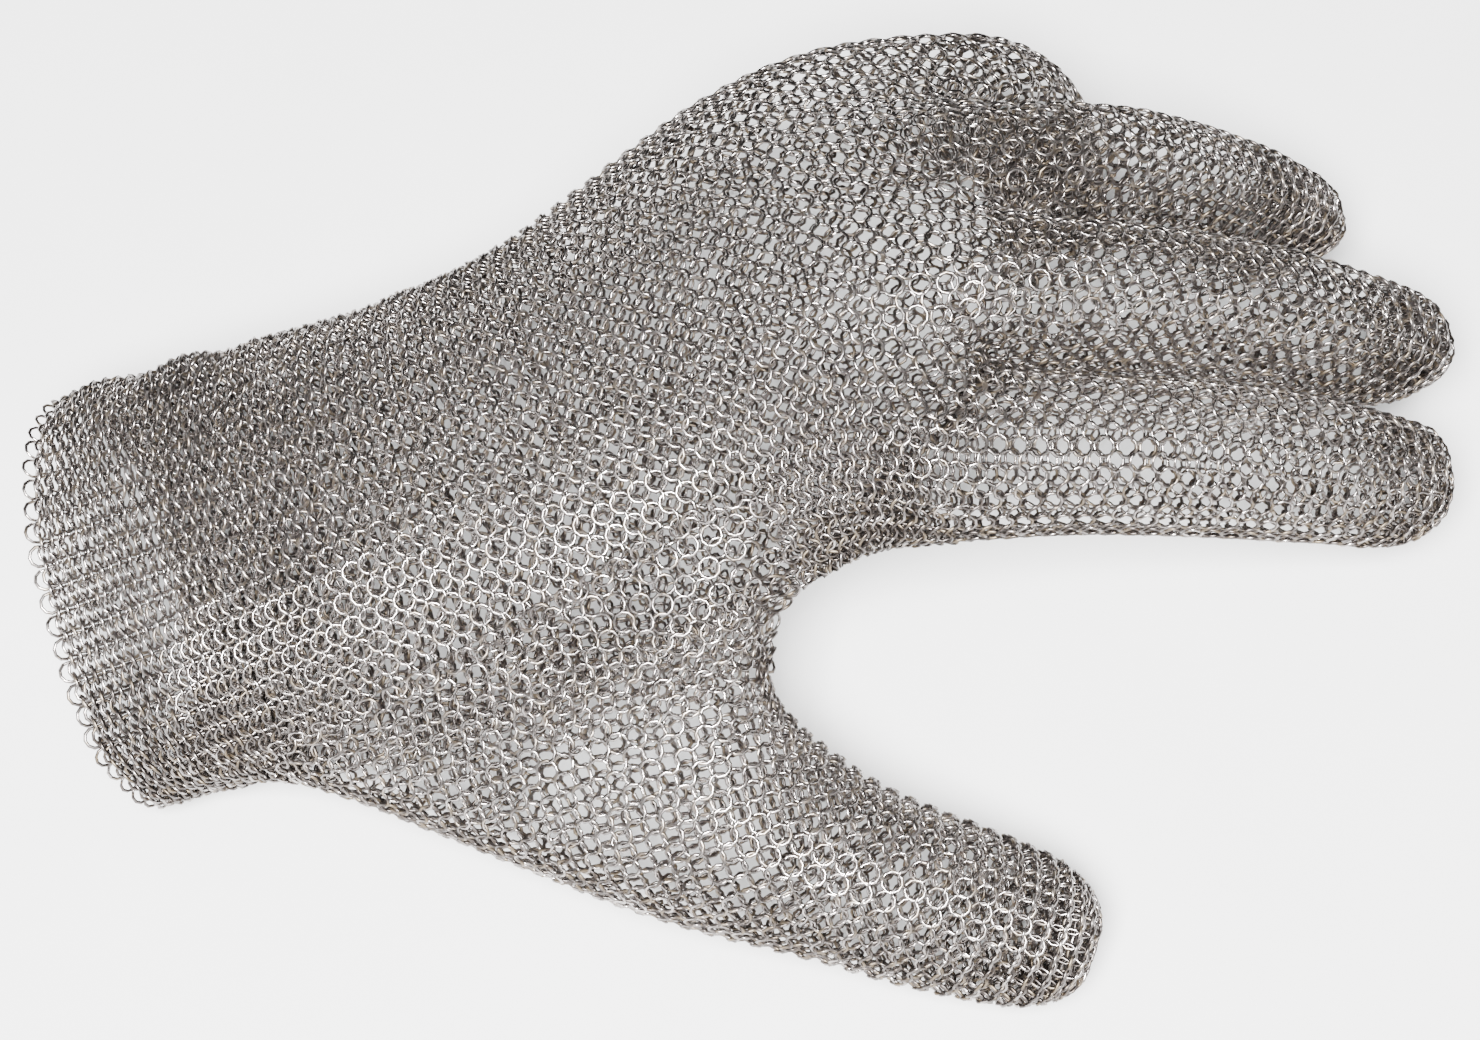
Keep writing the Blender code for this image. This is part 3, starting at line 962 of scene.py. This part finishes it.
def steel():
    """Bare steel wire: bright where it rubs, dull and a little brown where it doesn't, and
    darker still where painted shade is laid on the sides and palm, and tinted by heat where
    each ring is welded."""
    name = "ring steel"
    if name in bpy.data.materials:
        return bpy.data.materials[name]
    look = bpy.context.scene.mail_steel
    material, nodes = new_material(name)
    place = nodes.add("ShaderNodeTexCoord", {}, {}).outputs["Object"]
    tone = nodes.value("ShaderNodeAttribute", {"attribute_name": TONE_AND_SHADE}, {}, "Fac")
    patches, specks, wear = (nodes.pattern(place, kind) for kind in (PATCHES, SPECKS, WEAR))
    # The ring's tone carries its painted shade, so the wire of the sides and palm is mixed duller
    # and darker.
    dullness_and_shade = nodes.spread(patches * DULL_PATCHES + tone * DULL_TONE + specks * DULL_SPECKS,
                            DULL_LOW, DULL_HIGH)
    round_ring = nodes.value("ShaderNodeAttribute", {"attribute_name": ROUND}, {}, "Fac")
    weld = nodes.spread(nodes.value("ShaderNodeMath", {"operation": "ABSOLUTE"},
                                    {0: round_ring - 0.5}), WELD_EDGE, WELD_MIDDLE)
    metal = nodes.colour(dullness_and_shade, (*look.bright, 1.0), (*look.dull, 1.0))
    metal = nodes.colour(specks * tone * TARNISH_SHARE, metal, (*look.tarnish, 1.0))
    metal = nodes.colour(weld * WELD_SHARE, metal, (*look.weld, 1.0))
    bump = nodes.value("ShaderNodeBump", {}, {
        "Strength": SCRATCH_STRENGTH, "Distance": SCRATCH_DEPTH,
        "Height": nodes.noise(place, SCRATCH_SCALE, SCRATCH_DETAIL)})
    roughness = dullness_and_shade * ROUGH_DULL + wear * ROUGH_WEAR + weld * ROUGH_WELD + look.roughness
    nodes.surface({"Base Color": metal, "Metallic": 1.0, "Roughness": roughness, "Normal": bump})
    return material


def ring_weaver():
    """The node tree that hangs a closed ring of round wire on each point, facing out of
    the mail with its lean, and gives each ring a darkness of its own, which wear lessens and
    the painted shade of the sides and palm deepens."""
    name = "ring weaver"
    if name in bpy.data.node_groups:
        return bpy.data.node_groups[name]
    tree = bpy.data.node_groups.new(name, "GeometryNodeTree")
    face = tree.interface
    face.new_socket("Points", in_out="INPUT", socket_type="NodeSocketGeometry")
    for label, kind in RING_INPUTS:
        face.new_socket(label, in_out="INPUT", socket_type=kind)
    face.new_socket("Rings", in_out="OUTPUT", socket_type="NodeSocketGeometry")
    nodes = Nodes(tree)
    make = nodes.value
    given = nodes.add("NodeGroupInput", {}, {}).outputs
    thickness = Value(nodes, given["Wire diameter"])
    middle = Value(nodes, given["Ring diameter"]) - thickness
    circle = make("GeometryNodeCurvePrimitiveCircle", {}, {
        "Resolution": given["Ring sides"], "Radius": middle * 0.5})
    wire = make("GeometryNodeCurvePrimitiveCircle", {}, {
        "Resolution": given["Wire sides"], "Radius": thickness * 0.5})
    part = make("GeometryNodeInputIndex", {}, {}) / given["Ring sides"]
    circle = make("GeometryNodeStoreNamedAttribute", {"data_type": "FLOAT", "domain": "POINT"},
                  {"Geometry": circle, "Name": ROUND, "Value": part})
    ring = make("GeometryNodeCurveToMesh", {}, {"Curve": circle, "Profile Curve": wire})
    ring = make("GeometryNodeSetShadeSmooth", {}, {"Geometry": ring})

    def kept(attribute, kind="FLOAT"):
        return make("GeometryNodeInputNamedAttribute", {"data_type": kind}, {"Name": attribute})

    def chance(kind, first, least, most):
        """A random value of each ring's own. First is the first socket of its kind."""
        return make("FunctionNodeRandomValue", {"data_type": kind},
                    {first: least, first + 1: most, "Seed": given["Seed"]}, first // 2)

    turn = make("FunctionNodeAlignRotationToVector", {"axis": "Z"},
                {"Vector": kept(OUTWARD, "FLOAT_VECTOR")})
    turn = make("FunctionNodeAlignRotationToVector", {"axis": "X", "pivot_axis": "Z"},
                {"Rotation": turn, "Vector": kept(ALONG, "FLOAT_VECTOR")})
    lean = kept(LEAN)
    shake = make("ShaderNodeVectorMath", {"operation": "SCALE"}, {
        0: chance("FLOAT_VECTOR", 0, (-1.0, -1.0, -1.0), (1.0, 1.0, 1.0)),
        "Scale": lean * given["Shake"]})
    bend = make("ShaderNodeVectorMath", {"operation": "ADD"}, {
        0: make("ShaderNodeCombineXYZ", {}, {"Y": lean}), 1: shake})
    spin = make("ShaderNodeCombineXYZ", {}, {"Z": chance("FLOAT", 2, 0.0, 2 * math.pi)})
    for angles in (bend, spin):
        turn = make("FunctionNodeRotateRotation", {"rotation_space": "LOCAL"}, {
            0: turn, 1: make("FunctionNodeEulerToRotation", {}, {0: angles})})
    points = make("GeometryNodeMeshToPoints", {}, {"Mesh": given["Points"]})
    hung = make("GeometryNodeInstanceOnPoints", {}, {
        "Points": points, "Instance": ring, "Rotation": turn})
    # Wear lowers a ring's tone, and the painted shade of the sides and palm raises it, which
    # darkens the steel there.
    tone = chance("FLOAT", 2, 0.0, 1.0) * (1.0 - kept(WEAR_AND_SHADE))
    toned = make("GeometryNodeStoreNamedAttribute", {"data_type": "FLOAT", "domain": "INSTANCE"},
                 {"Geometry": hung, "Name": TONE_AND_SHADE, "Value": tone})
    real = make("GeometryNodeRealizeInstances", {}, {0: toned})
    rings = make("GeometryNodeSetMaterial", {}, {"Geometry": real, "Material": given["Material"]})
    nodes.add("NodeGroupOutput", {}, {0: rings})
    return tree


def weave(name, rings, chosen, node):
    """Make the chosen rings as one piece of mail that stands for a node of the frame."""
    sizes = bpy.context.scene.mail_sizes
    mesh = mesh_of(name + "_points", rings.place[chosen], [])
    for label in (OUTWARD, ALONG, LEAN, WEAR_AND_SHADE):
        values = getattr(rings, label)[chosen]
        kind, field = ("FLOAT", "value") if values.ndim == 1 else ("FLOAT_VECTOR", "vector")
        attribute = mesh.attributes.new(label, kind, "POINT")
        attribute.data.foreach_set(field, values.ravel().astype(np.float32))
    source = put(name + "_points", mesh)
    weaver = source.modifiers.new("weave", "NODES")
    tree = ring_weaver()
    weaver.node_group = tree
    values = {"Ring diameter": sizes.ring_diameter, "Wire diameter": sizes.wire_diameter,
              "Ring sides": RING_SIDES, "Wire sides": WIRE_SIDES, "Shake": sizes.shake,
              "Seed": SEED + len(name), "Material": steel()}
    for socket in tree.interface.items_tree:
        if socket.name in values:
            weaver[socket.identifier] = values[socket.name]
    bpy.context.view_layer.update()
    graph = bpy.context.evaluated_depsgraph_get()
    result = bpy.data.meshes.new_from_object(source.evaluated_get(graph),
                                             preserve_all_data_layers=True, depsgraph=graph)
    result.name = name
    bpy.data.objects.remove(source)
    bpy.data.meshes.remove(mesh)
    piece = put(name, result)
    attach(piece, BODY)
    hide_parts(node)
    if not result.polygons:
        raise RuntimeError(f"{name} has no rings")
    return piece


def woven(sheet):
    """The rings of a sheet at the sizes that are set."""
    sizes = bpy.context.scene.mail_sizes
    mean_radius = (sizes.ring_diameter - sizes.wire_diameter) / 2
    return rings_of(sheet(sizes.row_pitch), mean_radius, sizes.wire_diameter)


def length_setting(name, description, default, least, most):
    """A length, given in millimetres."""
    return bpy.props.FloatProperty(name=name, description=description, default=default * MM,
                                   min=least * MM, max=most * MM, precision=5, unit="LENGTH")


def share_setting(name, description, default):
    """A number from 0 to 1."""
    return bpy.props.FloatProperty(name=name, description=description, default=default,
                                   min=0.0, max=1.0, subtype="FACTOR")


def colour_setting(name, description, default):
    """A colour."""
    return bpy.props.FloatVectorProperty(name=name, description=description, default=default,
                                         min=0.0, max=1.0, size=3, subtype="COLOR")


class MailSizes(bpy.types.PropertyGroup):
    """Sizes of the mail."""

    ring_diameter: length_setting(
        "Ring diameter", "Outside diameter of each ring", 3.8, 2.0, 8.0)
    wire_diameter: length_setting(
        "Wire diameter", "Thickness of the wire of each ring", 0.55, 0.2, 1.2)
    row_pitch: length_setting(
        "Row pitch", "Distance between rows that lean the same way", 3.25, 2.0, 8.0)
    shake: share_setting(
        "Shake", "How far chance turns a ring, as a part of its own lean", 0.15)


class MailSteel(bpy.types.PropertyGroup):
    """Finish of the wire."""

    bright: colour_setting(
        "Bright steel", "Colour of the wire where it rubs", (0.46, 0.424, 0.408))
    # This dull colour also serves as the painted shade of the sides and palm.
    dull: colour_setting(
        "Dull steel", "Colour of the wire where it has dulled", (0.1, 0.088, 0.083))
    tarnish: colour_setting(
        "Tarnish", "Colour of the specks on the wire", (0.085, 0.065, 0.05))
    weld: colour_setting(
        "Weld", "Colour of the spot where each ring is welded shut", (0.24, 0.19, 0.13))
    roughness: share_setting("Roughness", "Roughness of the brightest wire", 0.16)


class MailStage(bpy.types.PropertyGroup):
    """Floor under the glove."""

    floor: colour_setting("Floor", "Colour of the floor", (0.84, 0.84, 0.84))
    gap: length_setting("Gap", "Space between the glove and the floor", 3.0, 0.0, 200.0)


class MAILGLOVE_OT_hand(bpy.types.Operator):
    """Weave the mail of the cuff and of the back and palm of the hand"""

    bl_idname = "mail_glove.hand"
    bl_label = "Weave cuff and hand"

    def execute(self, context):
        rings = woven(body_sheet)
        on_hand = rings.piece == PIECES.index("hand")
        wrist = rings.place[:, 0] < WRIST_END * MM
        back = rings.outward[:, 2] > 0
        weave("cuff_mail", rings, rings.piece == PIECES.index("cuff"), "cuff")
        weave("wrist_mail", rings, on_hand & wrist, "hand")
        weave("back_mail", rings, on_hand & ~wrist & back, "hand")
        weave("palm_mail", rings, on_hand & ~wrist & ~back, "hand")
        return {"FINISHED"}


class MAILGLOVE_OT_fingers(bpy.types.Operator):
    """Weave the mail of the four fingers"""

    bl_idname = "mail_glove.fingers"
    bl_label = "Weave fingers"

    def execute(self, context):
        rings = woven(body_sheet)
        for name in FINGER_NAMES:
            weave(name + "_mail", rings, rings.piece == PIECES.index(name), name)
        return {"FINISHED"}


class MAILGLOVE_OT_thumb(bpy.types.Operator):
    """Weave the mail of the thumb and its gusset"""

    bl_idname = "mail_glove.thumb"
    bl_label = "Weave thumb"

    def execute(self, context):
        rings = woven(thumb_sheet)
        rings = Rings(*[np.concatenate(both) for both in zip(rings, seam_rings())])
        weave("thumb_mail", rings, rings.piece == PIECES.index("thumb"), "thumb")
        return {"FINISHED"}


def lay_floor(middle, height):
    """A wide pale floor, with a faint grain."""
    look = bpy.context.scene.mail_stage
    half = FLOOR_SIZE / 2
    corners = [(middle.x + x * half, middle.y + y * half, height)
               for x, y in ((-1, -1), (1, -1), (1, 1), (-1, 1))]
    floor = put("floor", mesh_of("floor", corners, [(0, 1, 2, 3)]))
    material, nodes = new_material("pale floor")
    place = nodes.add("ShaderNodeTexCoord", {}, {}).outputs["Object"]
    shade = tuple(FLOOR_SHADE * value for value in look.floor)
    colour = nodes.colour(nodes.pattern(place, GRAIN), (*shade, 1.0), (*look.floor, 1.0))
    nodes.surface({"Base Color": colour, "Roughness": FLOOR_ROUGHNESS})
    floor.data.materials.append(material)


def set_light(middle):
    """One soft lamp turned to the glove, and a dim white sky."""
    lamp = bpy.data.lights.new("key", "AREA")
    lamp.size = LAMP_SIZE
    lamp.energy = LAMP_POWER
    light = put("key", lamp)
    light.location = middle + Vector(LAMP_OFFSET)
    light.rotation_euler = (middle - light.location).to_track_quat("-Z", "Y").to_euler()
    world = bpy.data.worlds.new("studio")
    world.use_nodes = True
    sky = world.node_tree.nodes["Background"]
    sky.inputs["Color"].default_value = (1.0, 1.0, 1.0, 1.0)
    sky.inputs["Strength"].default_value = WORLD_STRENGTH
    bpy.context.scene.world = world


def set_camera():
    """The camera, looking down on the back of the hand."""
    lens = bpy.data.cameras.new("camera")
    lens.lens = CAMERA_LENS
    lens.sensor_width = CAMERA_SENSOR
    lens.clip_start = CAMERA_NEAR
    camera = put("camera", lens)
    camera.location = CAMERA_PLACE
    camera.rotation_euler = CAMERA_TURN
    bpy.context.scene.camera = camera


class MAILGLOVE_OT_stage(bpy.types.Operator):
    """Lay the floor and set the light and the camera"""

    bl_idname = "mail_glove.stage"
    bl_label = "Set stage"

    def execute(self, context):
        lowest, highest = (Vector(corner) for corner in CAD_BOX)
        middle = (lowest + highest) / 2
        lay_floor(middle, lowest.z - context.scene.mail_stage.gap)
        set_light(middle)
        set_camera()
        return {"FINISHED"}


class MAILGLOVE_PT_panel(bpy.types.Panel):
    """Steps and settings of the mail glove"""

    bl_idname = "MAILGLOVE_PT_panel"
    bl_label = "Mail glove"
    bl_space_type = "VIEW_3D"
    bl_region_type = "UI"
    bl_category = "Mail glove"

    def draw(self, context):
        column = self.layout.column()
        for group in (context.scene.mail_sizes, context.scene.mail_steel,
                      context.scene.mail_stage):
            for name in group.__annotations__:
                column.prop(group, name)
        for step in STEPS:
            column.operator(step.bl_idname)


STEPS = (MAILGLOVE_OT_hand, MAILGLOVE_OT_fingers, MAILGLOVE_OT_thumb, MAILGLOVE_OT_stage)
GROUPS = {"mail_sizes": MailSizes, "mail_steel": MailSteel, "mail_stage": MailStage}
CLASSES = tuple(GROUPS.values()) + STEPS + (MAILGLOVE_PT_panel,)


def register():
    for kind in CLASSES:
        bpy.utils.register_class(kind)
    for name, group in GROUPS.items():
        setattr(bpy.types.Scene, name, bpy.props.PointerProperty(type=group))


def unregister():
    for name in GROUPS:
        delattr(bpy.types.Scene, name)
    for kind in reversed(CLASSES):
        bpy.utils.unregister_class(kind)


def main():
    """Make the glove and its stage."""
    register()
    bpy.ops.mail_glove.hand()
    bpy.ops.mail_glove.fingers()
    bpy.ops.mail_glove.thumb()
    bpy.ops.mail_glove.stage()


if __name__ == "__main__":
    main()
